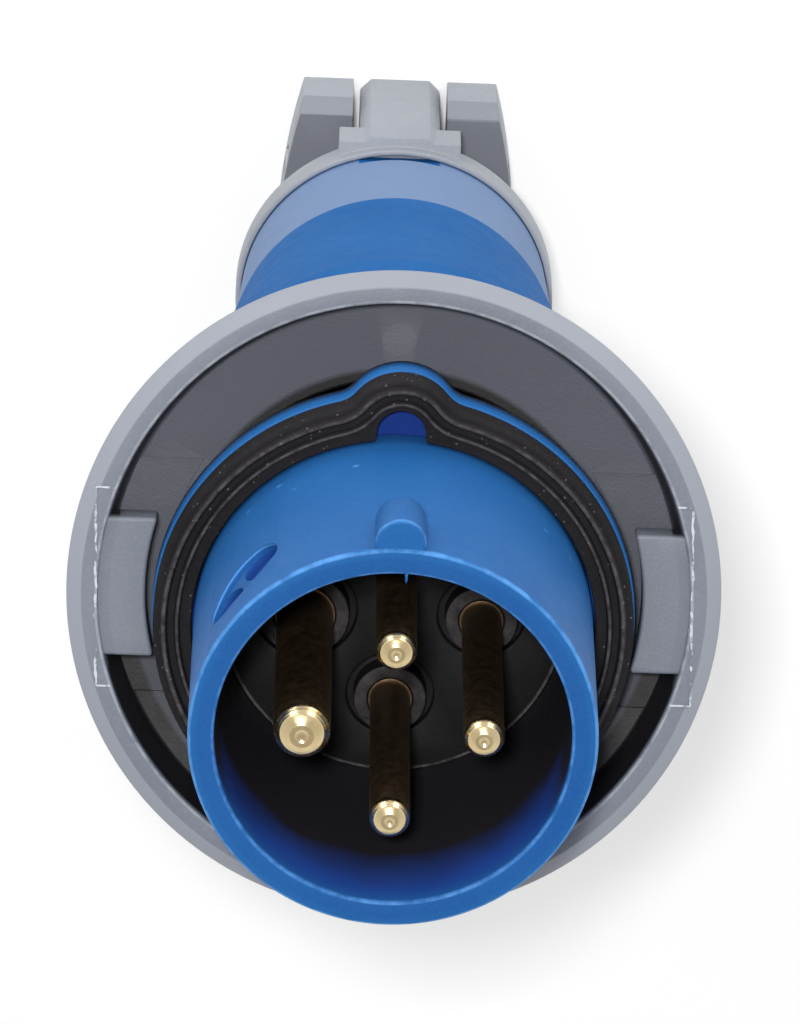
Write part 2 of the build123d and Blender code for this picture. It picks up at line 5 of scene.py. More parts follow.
import bmesh
import bpy
from mathutils import Matrix, Vector


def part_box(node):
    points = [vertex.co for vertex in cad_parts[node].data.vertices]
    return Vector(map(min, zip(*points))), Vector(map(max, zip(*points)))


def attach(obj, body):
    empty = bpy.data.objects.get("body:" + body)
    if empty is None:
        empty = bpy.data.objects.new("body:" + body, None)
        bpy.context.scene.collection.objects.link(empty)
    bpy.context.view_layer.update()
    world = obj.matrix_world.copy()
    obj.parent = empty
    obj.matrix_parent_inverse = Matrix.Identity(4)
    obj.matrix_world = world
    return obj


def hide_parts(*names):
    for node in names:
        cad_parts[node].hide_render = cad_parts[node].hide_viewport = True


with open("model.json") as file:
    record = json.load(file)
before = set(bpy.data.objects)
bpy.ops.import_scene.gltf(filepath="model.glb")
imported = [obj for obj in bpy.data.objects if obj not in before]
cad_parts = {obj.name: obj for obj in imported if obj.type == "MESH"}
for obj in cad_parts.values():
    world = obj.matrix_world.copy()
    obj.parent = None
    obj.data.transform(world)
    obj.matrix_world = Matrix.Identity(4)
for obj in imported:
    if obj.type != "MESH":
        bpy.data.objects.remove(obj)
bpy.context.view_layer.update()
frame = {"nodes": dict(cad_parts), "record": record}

# Sizes in millimetres, as in the frame; heights are above the plug's rear end
MM = 0.001
SEGMENTS = 192
SEED = 7
running_gap = 0.3
seat_gap = 0.1

mouth_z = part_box("sleeve_housing")[1].z / MM
spigot_end_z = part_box("sleeve_housing")[0].z / MM
sleeve_radius = 24.8
sleeve_bore = 21.6
flange_front_z = mouth_z - 37.0
flange_back_z = flange_front_z - 3.5
flange_radius = 30.1
bump_radius = 7.3
bump_centre = 26.0
bump_blend = 4.0
key_radius = 3.1
key_centre = 25.5
key_length = 8.7
hub_radius = 24.2
spigot_radius = 21.0
spigot_bore = 17.6
seal_groove_z = spigot_end_z + 5.0
seal_groove_half = 1.1
seal_groove_floor = 19.3
recess_angle = radians(-39.6)
recess_slant = radians(24.5)
recess_z = mouth_z - 10.2
recess_length = 12.4
recess_width = 8.8
recess_depth = 0.7
lobe_length = 5.6
lobe_width = 7.0
lobe_depth = 1.7
lobe_shift = 3.35
carrier_back_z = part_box("contact_carrier")[0].z / MM
carrier_front_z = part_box("contact_carrier")[1].z / MM
carrier_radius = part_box("contact_carrier")[1].x / MM
carrier_screw_circle = 14.8
carrier_lug_radius = 3.4
carrier_lug_length = 8.0
small_screw_hole = 1.3
lock_screw_hole = 1.6
pin_circle = 11.0
barrel_radius = 4.6
gasket_top = flange_front_z + 3.0
ridge_top = gasket_top + 0.7
slot_radius = 3.05
slot_reach = 29.0

# The locking ring is tipped on the hub and leans on the back of the flange
RING_TIP = radians(11.5)
rim_front = 12.5
floor_front = 3.5
floor_back = 0.5
skirt_back = -2.5
ring_half_hub = 3.5
ring_radius = 41.0
rim_inner = 37.0
dish_foot = 35.7
groove_radius = 33.4
skirt_radius = 37.2
skirt_bore = 34.8
pocket_inner = 28.5
pocket_half_width = 15.0
pocket_depth = 0.6
lug_depth = 5.5
mark_place = (0.4, -31.0)
mark_radius = 2.1
mark_height = 0.1
lug_half_width = 8.8
lug_front = 11.9
ring_bore = (hub_radius + running_gap + ring_half_hub * sin(RING_TIP)) / cos(RING_TIP)
ring_hub_radius = ring_bore + 2.8
lean_radius = (flange_radius + ring_half_hub * sin(RING_TIP)) / cos(RING_TIP)
ring_height = flange_back_z - running_gap - ring_half_hub * cos(RING_TIP) - lean_radius * sin(RING_TIP)
ring_frame = Matrix.Translation((0, 0, ring_height * MM)) @ Matrix.Rotation(RING_TIP, 4, "X")
lug_near = lug_half_width * cos(RING_TIP) - lug_front * sin(RING_TIP)
lug_inner = sqrt((flange_radius + running_gap) ** 2 + lug_half_width ** 2 - lug_near ** 2)

# Rear body
body_front_z = (ring_height - ring_half_hub * cos(RING_TIP)
                - ring_hub_radius * sin(RING_TIP) - running_gap)
body_rear_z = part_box("rear_body")[0].z / MM
body_radius = 21.9
body_end_radius = 20.9
body_wall = 3.2
rear_bore = 12.0
rear_bore_depth = 9.4
cord_bore = 7.5
cord_bore_depth = 12.4
collar_screw_place = 16.0
collar_screw_depth = 9.0
notch_half = 5.6
notch_length = 1.6
front_collar_radius = 27.0
shoulder_z = 44.0
collar_foot_z = 81.0
lip_end_z = body_rear_z + 1.5
lock_screw_z = body_front_z - 5.5
jaw_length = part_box("clamp_jaw_left")[1].z / MM


def unit(*values):
    """The values, given in millimetres, as metres."""
    return tuple(value * MM for value in values)


def link(mesh, name):
    """New object for a mesh, in the scene."""
    piece = bpy.data.objects.new(name, mesh)
    bpy.context.scene.collection.objects.link(piece)
    return piece


def finish_mesh(work, name):
    """Object made of a bmesh in metres, with outward normals."""
    bmesh.ops.recalc_face_normals(work, faces=work.faces)
    mesh = bpy.data.meshes.new(name)
    work.to_mesh(mesh)
    work.free()
    return link(mesh, name)


def rounded(points, steps=5):
    """Closed outline of (x, y, corner radius) points with its corners rounded."""
    outline = []
    for i, (x, y, radius) in enumerate(points):
        corner = Vector((x, y))
        before = Vector(points[i - 1][:2]) - corner
        after = Vector(points[(i + 1) % len(points)][:2]) - corner
        if radius <= 0:
            outline.append((x, y))
            continue
        half = before.angle(after) / 2
        reach = min(radius / tan(half), before.length * 0.49, after.length * 0.49)
        radius = reach * tan(half)
        centre = corner + (before.normalized() + after.normalized()).normalized() * (radius / sin(half))
        start = corner + before.normalized() * reach - centre
        end = corner + after.normalized() * reach - centre
        turn = atan2(start.x * end.y - start.y * end.x, start.dot(end))
        for k in range(steps + 1):
            share = turn * k / steps
            outline.append((centre.x + start.x * cos(share) - start.y * sin(share),
                            centre.y + start.x * sin(share) + start.y * cos(share)))
    return outline


def lathe(name, outline, centre=(0, 0), segments=SEGMENTS, matrix=Matrix()):
    """Solid turned from a closed (radius, height) outline round an axis along Z through centre."""
    work = bmesh.new()
    rings = []
    for radius, height in outline:
        if radius < 1e-6:
            rings.append([work.verts.new(matrix @ Vector(unit(*centre, height)))])
            continue
        ring = []
        for k in range(segments):
            angle = 2 * pi * k / segments
            point = unit(centre[0] + radius * cos(angle), centre[1] + radius * sin(angle), height)
            ring.append(work.verts.new(matrix @ Vector(point)))
        rings.append(ring)
    for lower, upper in zip(rings, rings[1:] + rings[:1]):
        if len(lower) == 1 and len(upper) == 1:
            continue
        for k in range(segments):
            after = k + 1
            loop = [lower[k % len(lower)], lower[after % len(lower)],
                    upper[after % len(upper)], upper[k % len(upper)]]
            loop = [v for i, v in enumerate(loop) if v not in loop[:i]]
            work.faces.new(loop)
    return finish_mesh(work, name)


def rod(name, radius, low, high, centre=(0, 0), matrix=Matrix(), segments=48):
    """Plain cylinder between two heights."""
    return lathe(name, [(0, low), (radius, low), (radius, high), (0, high)], centre, segments, matrix)


def prism(name, outline, low, high, matrix=Matrix()):
    """Solid with an (x, y) outline between two heights."""
    work = bmesh.new()
    floor = [work.verts.new(matrix @ Vector(unit(x, y, low))) for x, y in outline]
    roof = [work.verts.new(matrix @ Vector(unit(x, y, high))) for x, y in outline]
    work.faces.new(floor)
    work.faces.new(roof)
    for k in range(len(outline)):
        after = (k + 1) % len(outline)
        work.faces.new((floor[k], floor[after], roof[after], roof[k]))
    return finish_mesh(work, name)


def block(name, x, y, z, matrix=Matrix()):
    """Box between pairs of x, y and z."""
    return prism(name, [(x[0], y[0]), (x[1], y[0]), (x[1], y[1]), (x[0], y[1])], *z, matrix)


def radial_frame(angle, height):
    """Frame whose Z points outwards at an angle round the axis, with X tangent and Y along the axis."""
    tangent = Vector((-sin(angle), cos(angle), 0))
    outwards = Vector((cos(angle), sin(angle), 0))
    turned = Matrix((tangent, Vector((0, 0, 1)), outwards)).transposed().to_4x4()
    return Matrix.Translation((0, 0, height * MM)) @ turned


def settle(piece):
    """Applies the piece's modifiers."""
    bpy.context.view_layer.update()
    graph = bpy.context.evaluated_depsgraph_get()
    mesh = bpy.data.meshes.new_from_object(piece.evaluated_get(graph))
    piece.modifiers.clear()
    piece.data = mesh


def combine(piece, tool, operation):
    """Joins a tool with the piece, or cuts it from the piece, and takes the tool away."""
    change = piece.modifiers.new("change", "BOOLEAN")
    change.object = tool
    change.operation = operation
    change.solver = "EXACT"
    settle(piece)
    bpy.data.objects.remove(tool)


def cut(piece, tool):
    combine(piece, tool, "DIFFERENCE")


def join(piece, tool):
    combine(piece, tool, "UNION")


def soften(piece, width, segments=3, angle=40):
    """Rounds the edges of the piece that are sharper than an angle."""
    edges = piece.modifiers.new("edges", "BEVEL")
    edges.width = width * MM
    edges.segments = segments
    edges.limit_method = "ANGLE"
    edges.angle_limit = radians(angle)
    settle(piece)


def place_piece(piece, node, body, material, angle=32):
    """Lets a piece stand for a CAD node on its body, smooth apart from edges over an angle."""
    piece.data.polygons.foreach_set("use_smooth", [True] * len(piece.data.polygons))
    piece.data.set_sharp_from_angle(angle=radians(angle))
    piece.data.materials.clear()
    piece.data.materials.append(material)
    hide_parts(node)
    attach(piece, body)


def rounded_copy(node, width):
    """Copy of a CAD node with its facets merged and its edges rounded."""
    source = frame["nodes"][node]
    work = bmesh.new()
    work.from_mesh(source.data)
    work.transform(source.matrix_world)
    bmesh.ops.remove_doubles(work, verts=work.verts, dist=0.001 * MM)
    bmesh.ops.dissolve_limit(work, angle_limit=radians(0.4), verts=work.verts, edges=work.edges)
    piece = finish_mesh(work, node + "_look")
    soften(piece, width)
    return piece


# Materials


def srgb(red, green, blue):
    """Linear colour of an sRGB colour given from 0 to 255."""
    def linear(value):
        value = value / 255
        return value / 12.92 if value <= 0.04045 else ((value + 0.055) / 1.055) ** 2.4
    return (linear(red), linear(green), linear(blue), 1.0)


class Nodes:
    """Small helper that adds and links the nodes of one material."""

    def __init__(self, name, place_in=None):
        self.material = bpy.data.materials.new(name)
        self.material.use_nodes = True
        self.tree = self.material.node_tree
        self.shader = self.tree.nodes["Principled BSDF"]
        self.place = self.add("ShaderNodeTexCoord").outputs["Object"]
        if place_in:
            # Places are taken in another frame, such as the ring's
            back = place_in.inverted()
            mapping = self.add("ShaderNodeMapping")
            mapping.inputs["Location"].default_value = back.to_translation()
            mapping.inputs["Rotation"].default_value = back.to_euler()
            self.link(self.place, mapping.inputs["Vector"])
            self.place = mapping.outputs["Vector"]

    def add(self, kind, **settings):
        node = self.tree.nodes.new(kind)
        for key, value in settings.items():
            setattr(node, key, value)
        return node

    def link(self, output, target):
        self.tree.links.new(output, target)

    def feed(self, value, socket):
        """Links a socket, or sets a plain value."""
        if isinstance(value, bpy.types.NodeSocket):
            self.link(value, socket)
        else:
            socket.default_value = value

    def math(self, operation, first, second=0.0):
        node = self.add("ShaderNodeMath", operation=operation)
        self.feed(first, node.inputs[0])
        self.feed(second, node.inputs[1])
        return node.outputs["Value"]

    def noise(self, per_mm, detail=4.0, roughness=0.6, place=None):
        """Noise with about that many lumps to the millimetre."""
        node = self.add("ShaderNodeTexNoise")
        node.inputs["Scale"].default_value = per_mm / MM
        node.inputs["Detail"].default_value = detail
        node.inputs["Roughness"].default_value = roughness
        self.link(place or self.place, node.inputs["Vector"])
        return node.outputs["Fac"]

    def spread(self, value, low, high, start=0.3, end=0.7):
        """Value taken from start..end to low..high, and kept between them."""
        node = self.add("ShaderNodeMapRange")
        limits = {"From Min": start, "From Max": end, "To Min": low, "To Max": high}
        for name, number in limits.items():
            node.inputs[name].default_value = number
        self.link(value, node.inputs["Value"])
        return node.outputs["Result"]

    def spots(self, per_mm, share):
        """1 on small scattered spots and 0 elsewhere, with a spot in that share of the cells."""
        node = self.add("ShaderNodeTexVoronoi")
        node.inputs["Scale"].default_value = per_mm / MM
        self.link(self.place, node.inputs["Vector"])
        pick = self.add("ShaderNodeSeparateColor")
        self.link(node.outputs["Color"], pick.inputs["Color"])
        chosen = self.math("LESS_THAN", pick.outputs[0], share)
        near = self.spread(node.outputs["Distance"], 1, 0, 0.12, 0.3)
        return self.both(chosen, near)

    def around_axis(self):
        """Distance from the axis and height along it, in millimetres."""
        parts = self.add("ShaderNodeSeparateXYZ")
        self.link(self.place, parts.inputs["Vector"])
        squares = [self.math("POWER", self.math("ABSOLUTE", parts.outputs[k]), 2.0) for k in (0, 1)]
        radius = self.math("SQRT", self.math("ADD", *squares))
        return self.math("DIVIDE", radius, MM), self.math("DIVIDE", parts.outputs[2], MM)

    def below_axis(self):
        """Distance to the side away from the key, in millimetres."""
        parts = self.add("ShaderNodeSeparateXYZ")
        self.link(self.place, parts.inputs["Vector"])
        return self.math("DIVIDE", parts.outputs[1], MM)

    def both(self, first, *others):
        """Product of masks: 1 only where all of them are."""
        for other in others:
            first = self.math("MULTIPLY", first, other)
        return first

    def near(self, value, middle, half):
        """1 where the value is at the middle, falling to 0 at half a width from it."""
        distance = self.math("ABSOLUTE", self.math("SUBTRACT", value, middle))
        return self.spread(distance, 1, 0, half * 0.5, half)

    def mix(self, factor, first, second):
        """Mix of two colours, each a socket or a colour."""
        node = self.add("ShaderNodeMix", data_type="RGBA")
        for number, value in ((0, factor), (6, first), (7, second)):
            self.feed(value, node.inputs[number])
        return node.outputs[2]

    def bump(self, height, depth_mm):
        """Normal bumped by a height, to that depth."""
        node = self.add("ShaderNodeBump")
        node.inputs["Distance"].default_value = depth_mm * MM
        self.link(height, node.inputs["Height"])
        return node.outputs["Normal"]

    def moulded(self, colour, pale, gloss, grain=0.012):
        """Colour, roughness and normal of moulded plastic: faint clouds, fine speckle and grain."""
        clouds = self.spread(self.noise(0.05, 1), 0.0, 0.35)
        speckle = self.spread(self.noise(2.2, 1), 0.0, 0.3, 0.45, 0.75)
        base = self.mix(speckle, self.mix(clouds, colour, pale), pale)
        roughness = self.spread(self.noise(0.4, 2), gloss - 0.05, gloss + 0.07)
        return base, roughness, self.bump(self.noise(3.0, 1), grain)

    def finish(self, colour, roughness, normal, **sockets):
        """Links the look to the shader; the other sockets get plain values."""
        for value, name in ((colour, "Base Color"), (roughness, "Roughness"), (normal, "Normal")):
            self.feed(value, self.shader.inputs[name])
        for name, value in sockets.items():
            self.shader.inputs[name.replace("_", " ")].default_value = value
        return self.material


blue = srgb(32, 91, 153)
pale_blue = srgb(46, 108, 172)
# Painted highlight on edges, also the colour of light scuffs
highlight_and_scuff_blue = srgb(84, 146, 212)
# Painted reflection on the rear body behind its shoulder
body_reflection_blue = srgb(117, 139, 174)
# Painted shade in the recess and in the key's slot
shade_blue = srgb(28, 56, 130)
# Painted shade inside the bore, from deep blue near the mouth to black
bore_shade_blue = srgb(36, 70, 150)
bore_shade_black = srgb(40, 38, 43)
# Painted shade in the gaps behind the flange and round the ring's bore
shade_black = srgb(12, 12, 15)
grey = srgb(106, 111, 122)
pale_grey = srgb(128, 133, 143)
# Painted highlight on the ring's bevel
lit_bevel_grey = srgb(143, 147, 157)
light_grey = srgb(196, 199, 205)
shade_grey = srgb(74, 76, 88)
# Painted deep shade in the ring's dish and beyond its lugs
deep_shade_grey = srgb(24, 23, 26)
jaw_grey = srgb(142, 146, 154)
pale_jaw_grey = srgb(162, 166, 174)
rubber = srgb(17, 15, 17)
pale_rubber = srgb(42, 38, 41)
dust = srgb(118, 112, 114)
brass = srgb(234, 202, 142)
pale_brass = srgb(248, 226, 178)
# Painted shade on the pins' shafts
shaded_brass = srgb(122, 102, 80)
jaw_shade = srgb(98, 101, 110)


def plain_plastic(name, colour, pale, gloss):
    nodes = Nodes(name)
    return nodes.finish(*nodes.moulded(colour, pale, gloss))


def edge_highlights_and_scuffs(nodes, base, radius, height):
    """Painted highlights on the mouth's edges and the key's front edge, broken up in patches, and light
    scuffs in front of the gasket.
    """
    # Painted highlight on the rounded edges, broken up in patches
    highlight_breakup = nodes.spread(nodes.noise(0.5, 4), 0.12, 0.9, 0.35, 0.6)
    at_mouth = nodes.spread(height, 0, 1, mouth_z - 0.75, mouth_z - 0.35)
    outer_edge = nodes.near(radius, sleeve_radius - 0.12, 0.36)
    inner_edge = nodes.near(radius, sleeve_bore + 0.1, 0.34)
    edges = nodes.both(nodes.math("MAXIMUM", outer_edge, inner_edge), at_mouth)
    key_highlight = nodes.both(nodes.near(height, mouth_z - 0.3, 0.26),
                          nodes.spread(radius, 0, 0.8, sleeve_radius + 0.5, sleeve_radius + 0.8))
    edges = nodes.math("MAXIMUM", edges, key_highlight)
    base = nodes.mix(nodes.both(edges, highlight_breakup), base, highlight_and_scuff_blue)
    scuffs = nodes.both(nodes.spots(0.55, 0.12), nodes.near(height, gasket_top + 4.5, 4.0))
    return nodes.mix(nodes.both(scuffs, 0.6), base, highlight_and_scuff_blue)


def shaded_recess(nodes, base, radius, height):
    """Painted shade: deep blue in the recess, darker in its lobes; a painted highlight on the lip round it.
    """
    at_recess = nodes.near(height, recess_z, 12.0)
    recess_shade = nodes.both(nodes.spread(radius, 1, 0.25, sleeve_radius - 1.3, sleeve_radius - 0.8),
                      nodes.spread(radius, 1, 0, sleeve_radius - 0.35, sleeve_radius - 0.15), at_recess)
    lip_highlight = nodes.both(nodes.near(radius, sleeve_radius - 0.22, 0.16), at_recess)
    base = nodes.mix(nodes.both(recess_shade, 0.8), base, shade_blue)
    return nodes.mix(lip_highlight, base, highlight_and_scuff_blue)


def shaded_bore(nodes, base, radius, height):
    """Painted shade: blue that turns black into the bore, sooner on the key's side."""
    inside = nodes.spread(radius, 1, 0, sleeve_bore + 0.1, sleeve_bore + 0.3)
    tinge = nodes.spread(height, 1, 0, mouth_z - 4.5, mouth_z - 0.8)
    base = nodes.mix(nodes.both(inside, tinge), base, bore_shade_blue)
    patches = nodes.both(nodes.noise(0.07, 2), 9.0)
    depth = nodes.spread(nodes.math("ADD", height, patches), 1, 0, mouth_z - 9.5, mouth_z + 0.5)
    upper = nodes.spread(nodes.below_axis(), 1, 0, 5.0, 11.0)
    shallow = nodes.spread(height, 1, 0, mouth_z - 2.5, mouth_z - 0.7)
    depth = nodes.math("MAXIMUM", depth, nodes.both(upper, shallow))
    return nodes.mix(nodes.both(inside, depth), base, bore_shade_black)


def sleeve_finish():
    """Blue sleeve, with painted shade: deep blue in the key's slot, black on the hub behind the flange, and
    black into the bore.
    """
    nodes = Nodes("sleeve_blue")
    base, roughness, normal = nodes.moulded(blue, pale_blue, 0.42)
    radius, height = nodes.around_axis()
    base = edge_highlights_and_scuffs(nodes, base, radius, height)
    base = shaded_recess(nodes, base, radius, height)
    # Painted shade on the flange face seen in the key's slot
    slot = nodes.both(nodes.spread(height, 1, 0, flange_front_z + 0.1, flange_front_z + 0.4),
                      nodes.spread(radius, 1, 0, slot_reach + 0.1, slot_reach + 0.4))
    base = nodes.mix(slot, base, shade_blue)
    # Painted shade: black on the hub behind the flange
    below = nodes.spread(height, 1, 0, flange_back_z + 0.4, flange_back_z + 2.2)
    base = nodes.mix(below, base, shade_black)
    base = shaded_bore(nodes, base, radius, height)
    return nodes.finish(base, roughness, normal, Specular_IOR_Level=0.1)


def body_finish():
    """Blue rear body with a painted reflection: the part behind the shoulder is lighter, the cone in front
    of it is plain.
    """
    nodes = Nodes("body_blue")
    base, roughness, normal = nodes.moulded(blue, pale_blue, 0.58)
    radius, height = nodes.around_axis()
    # Painted reflection behind the shoulder, kept off the notch's flat
    behind = nodes.spread(height, 1, 0, shoulder_z - 0.1, shoulder_z + 0.1)
    notch = nodes.both(nodes.spread(radius, 1, 0, body_end_radius - 0.05, body_end_radius + 0.05),
                       nodes.spread(height, 1, 0, lip_end_z + 0.9, lip_end_z + 1.1))
    base = nodes.mix(nodes.math("SUBTRACT", behind, notch), base, body_reflection_blue)
    return nodes.finish(base, roughness, normal, Specular_IOR_Level=0.03)


def shaded_dish(nodes, base, radius, height):
    """Painted shade in the dish: darker on its wall and on the side away from the key."""
    low = nodes.spread(height, 1, 0, floor_front + 0.1, floor_front + 6.0)
    dish = nodes.both(low, nodes.spread(radius, 1, 0, rim_inner - 0.3, rim_inner - 0.1))
    base = nodes.mix(nodes.both(dish, 0.85), base, shade_grey)
    lower_shade = nodes.spread(nodes.below_axis(), 0, 0.4, -20.0, 10.0)
    base = nodes.mix(nodes.both(dish, lower_shade), base, deep_shade_grey)
    wall = nodes.both(nodes.near(height, floor_front + 4.4, 4.2),
                      nodes.spread(radius, 0, 1, dish_foot - 0.3, dish_foot),
                      nodes.spread(radius, 1, 0, rim_inner - 0.15, rim_inner))
    return nodes.mix(wall, base, deep_shade_grey)


def floor_shade_and_mark(nodes, base, radius, height):
    """Painted shade in a dark band beyond the lugs and black in the gap round the bore, and the ejector's
    pale disc.
    """
    # Painted shade in a band on the floor beyond the lugs
    groove_shade = nodes.both(nodes.spread(radius, 0, 1, groove_radius - 0.3, groove_radius + 0.3),
                        nodes.spread(nodes.below_axis(), 0, 1, lug_half_width + 1.0, lug_half_width + 2.0),
                        nodes.spread(height, 1, 0, rim_front - 1.2, rim_front - 0.7),
                        nodes.spread(radius, 1, 0, rim_inner - 0.1, rim_inner + 0.1))
    base = nodes.mix(groove_shade, base, deep_shade_grey)
    mark = nodes.both(nodes.near(height, floor_front + mark_height, 0.06),
                      nodes.spread(radius, 1, 0, groove_radius, groove_radius + 0.2))
    base = nodes.mix(nodes.both(mark, 0.1), base, pale_grey)
    # Painted shade: black in the gap round the bore
    gap = nodes.both(nodes.spread(radius, 1, 0, ring_bore + 1.2, ring_bore + 1.9),
                     nodes.spread(height, 1, 0, floor_front + 0.2, floor_front + 0.6))
    return nodes.mix(gap, base, shade_black)


def rim_highlight_and_seams(nodes, base, radius, height):
    """Painted highlight on the rim's inner edge, broken up in patches, and broken light seams that stand
    proud of it.
    """
    # Painted highlight on the rim's rounded inner edge
    edge = nodes.both(nodes.near(radius, rim_inner + 0.1, 0.35),
                      nodes.spread(height, 0, 1, rim_front - 0.6, rim_front - 0.15))
    highlight_breakup = nodes.spread(nodes.noise(0.5, 4), 0.05, 0.4, 0.35, 0.6)
    base = nodes.mix(nodes.both(edge, highlight_breakup), base, light_grey)
    seam = nodes.both(nodes.spread(height, 0, 1, rim_front + 0.03, rim_front + 0.08),
                      nodes.spread(nodes.noise(0.6, 3), 0.0, 1.0, 0.44, 0.54))
    return nodes.mix(seam, base, light_grey)


def ring_finish():
    """Grey ring, with a painted highlight: the bevel round its rim is paler than the flat."""
    nodes = Nodes("ring_grey", ring_frame)
    base, roughness, normal = nodes.moulded(grey, pale_grey, 0.5, 0.022)
    radius, height = nodes.around_axis()
    base = shaded_dish(nodes, base, radius, height)
    # Painted highlight: the bevel round the rim lighter than the flat
    bevel = nodes.spread(radius, 0, 1, rim_inner + 1.9, rim_inner + 2.1)
    base = nodes.mix(bevel, base, lit_bevel_grey)
    base = floor_shade_and_mark(nodes, base, radius, height)
    base = rim_highlight_and_seams(nodes, base, radius, height)
    return nodes.finish(base, roughness, normal)


def jaw_finish():
    """Grey clamp jaw, with painted shade on its chamfers and on its front, which faces the collar."""
    nodes = Nodes("jaw_grey")
    base, roughness, normal = nodes.moulded(jaw_grey, pale_jaw_grey, 0.5)
    height = nodes.around_axis()[1]
    # Painted shade on the chamfer and the front face
    chamfer = nodes.spread(height, 0, 0.4, jaw_length - 3.7, jaw_length - 3.5)
    front = nodes.spread(height, 0, 0.5, jaw_length - 0.25, jaw_length - 0.05)
    base = nodes.mix(nodes.math("ADD", chamfer, front), base, jaw_shade)
    return nodes.finish(base, roughness, normal)


def carrier_finish():
    """Black carrier with dusty bosses and a dusty edge."""
    nodes = Nodes("carrier_black")
    base, roughness, normal = nodes.moulded(srgb(16, 15, 16), srgb(38, 35, 37), 0.55)
    radius, height = nodes.around_axis()
    bosses = nodes.spread(height, 0, 0.45, carrier_front_z - 0.3, carrier_front_z - 0.1)
    edge = nodes.near(radius, carrier_radius - 0.15, 0.35)
    dusty = nodes.both(nodes.math("MAXIMUM", bosses, edge), nodes.spread(nodes.noise(0.6, 4), 0.1, 0.7))
    base = nodes.mix(dusty, base, dust)
    return nodes.finish(base, roughness, normal, Specular_IOR_Level=0.3)


def gasket_finish():
    """Black rubber with dusty crests and specks."""
    nodes = Nodes("gasket_rubber")
    base, roughness, normal = nodes.moulded(rubber, pale_rubber, 0.72, 0.03)
    height = nodes.around_axis()[1]
    crest = nodes.both(nodes.spread(height, 0, 0.5, ridge_top - 0.09, ridge_top),
                       nodes.spread(nodes.noise(0.9, 4), 0.2, 1.0, 0.35, 0.65))
    base = nodes.mix(crest, base, dust)
    base = nodes.mix(nodes.both(nodes.spots(1.9, 0.09), 0.75), base, dust)
    return nodes.finish(base, roughness, normal, Specular_IOR_Level=0.25)


def brass_finish():
    """Turned brass: bright tips; the shafts towards the carrier are painted darker as shade, and are
    rougher.
    """
    nodes = Nodes("pin_brass")
    height = nodes.around_axis()[1]
    tarnish = nodes.spread(nodes.noise(0.35, 4), 0.0, 0.6)
    base = nodes.mix(tarnish, pale_brass, brass)
    # Painted shade on the shafts, which lie deep in the dark bore
    shaft_shade = nodes.spread(height, 1, 0, mouth_z - 2.6, mouth_z - 1.8)
    base = nodes.mix(shaft_shade, base, shaded_brass)
    rings = nodes.add("ShaderNodeTexWave", bands_direction="Z")
    rings.inputs["Scale"].default_value = 0.8 / MM
    rings.inputs["Distortion"].default_value = 1.0
    nodes.link(nodes.place, rings.inputs["Vector"])
    roughness = nodes.math("ADD", nodes.spread(nodes.noise(0.8, 4), 0.16, 0.3), nodes.both(shaft_shade, 0.25))
    normal = nodes.bump(rings.outputs["Fac"], 0.004)
    return nodes.finish(base, roughness, normal, Metallic=1.0)


def steel_finish():
    """Plated steel with fine scratches."""
    nodes = Nodes("screw_steel")
    base = nodes.mix(nodes.spread(nodes.noise(0.4, 4), 0, 1), srgb(170, 171, 174), srgb(204, 205, 207))
    roughness = nodes.spread(nodes.noise(0.9, 4), 0.24, 0.42)
    return nodes.finish(base, roughness, nodes.bump(nodes.noise(2.0, 3), 0.006), Metallic=1.0)


sleeve_blue = sleeve_finish()
body_blue = body_finish()
ring_grey = ring_finish()
jaw_plastic = jaw_finish()
grey_plastic = plain_plastic("grey_plastic", jaw_grey, pale_jaw_grey, 0.5)
black_plastic = carrier_finish()
black_rubber = gasket_finish()
pin_brass = brass_finish()
screw_steel = steel_finish()

finishes = {
    "blue_plastic": body_blue,
    "grey_plastic": grey_plastic,
    "black_plastic": black_plastic,
    "black_rubber": black_rubber,
    "pin_brass": pin_brass,
    "screw_steel": screw_steel,
}
for subpart in frame["record"]["subparts"]:
    node_object = frame["nodes"][subpart["node"]]
    node_object.data.materials.clear()
    node_object.data.materials.append(finishes[subpart["material_slot"]])

# Sleeve housing
housing = lathe("sleeve_housing_look", rounded([
    (sleeve_bore, mouth_z, 0.45),
    (sleeve_radius, mouth_z, 0.6),
    (sleeve_radius, flange_back_z, 0),
    (hub_radius, flange_back_z, 0),
    (hub_radius, body_front_z, 0.3),
    (spigot_radius, body_front_z, 0),
    (spigot_radius, seal_groove_z + seal_groove_half, 0),
    (seal_groove_floor, seal_groove_z + seal_groove_half, 0),
    (seal_groove_floor, seal_groove_z - seal_groove_half, 0),
    (spigot_radius, seal_groove_z - seal_groove_half, 0),
    (spigot_radius, spigot_end_z, 0.3),
    (spigot_bore, spigot_end_z, 0.3),
    (spigot_bore, carrier_back_z, 0),
    (sleeve_bore, carrier_back_z, 0),
]))


def outline_radius(angle, inset):
    """Radius of the flange's outline, drawn in by inset, at an angle from the middle of the bump."""
    rim = flange_radius - inset
    bump = bump_radius - inset
    blend = bump_blend + inset
    along = (bump_centre ** 2 + (rim + blend) ** 2 - (bump + blend) ** 2) / (2 * bump_centre)
    across = sqrt((rim + blend) ** 2 - along ** 2)
    on_rim = atan2(across, along)
    on_bump = atan2(across * bump / (bump + blend),
                    bump_centre + (along - bump_centre) * bump / (bump + blend))
    angle = abs((angle + pi) % (2 * pi) - pi)
    if angle >= on_rim:
        return rim
    if angle <= on_bump:
        near = bump_centre * cos(angle)
        return near + sqrt(near ** 2 - bump_centre ** 2 + bump ** 2)
    near = along * cos(angle) + across * sin(angle)
    return near - sqrt(near ** 2 - (rim + blend) ** 2 + blend ** 2)


def flange_angles(count=360, close=0.55):
    """Angles from the bump's middle, once round, closer together at the bump."""
    turns = [2 * pi * k / count for k in range(count)]
    return [turn - close * sin(turn) for turn in turns]


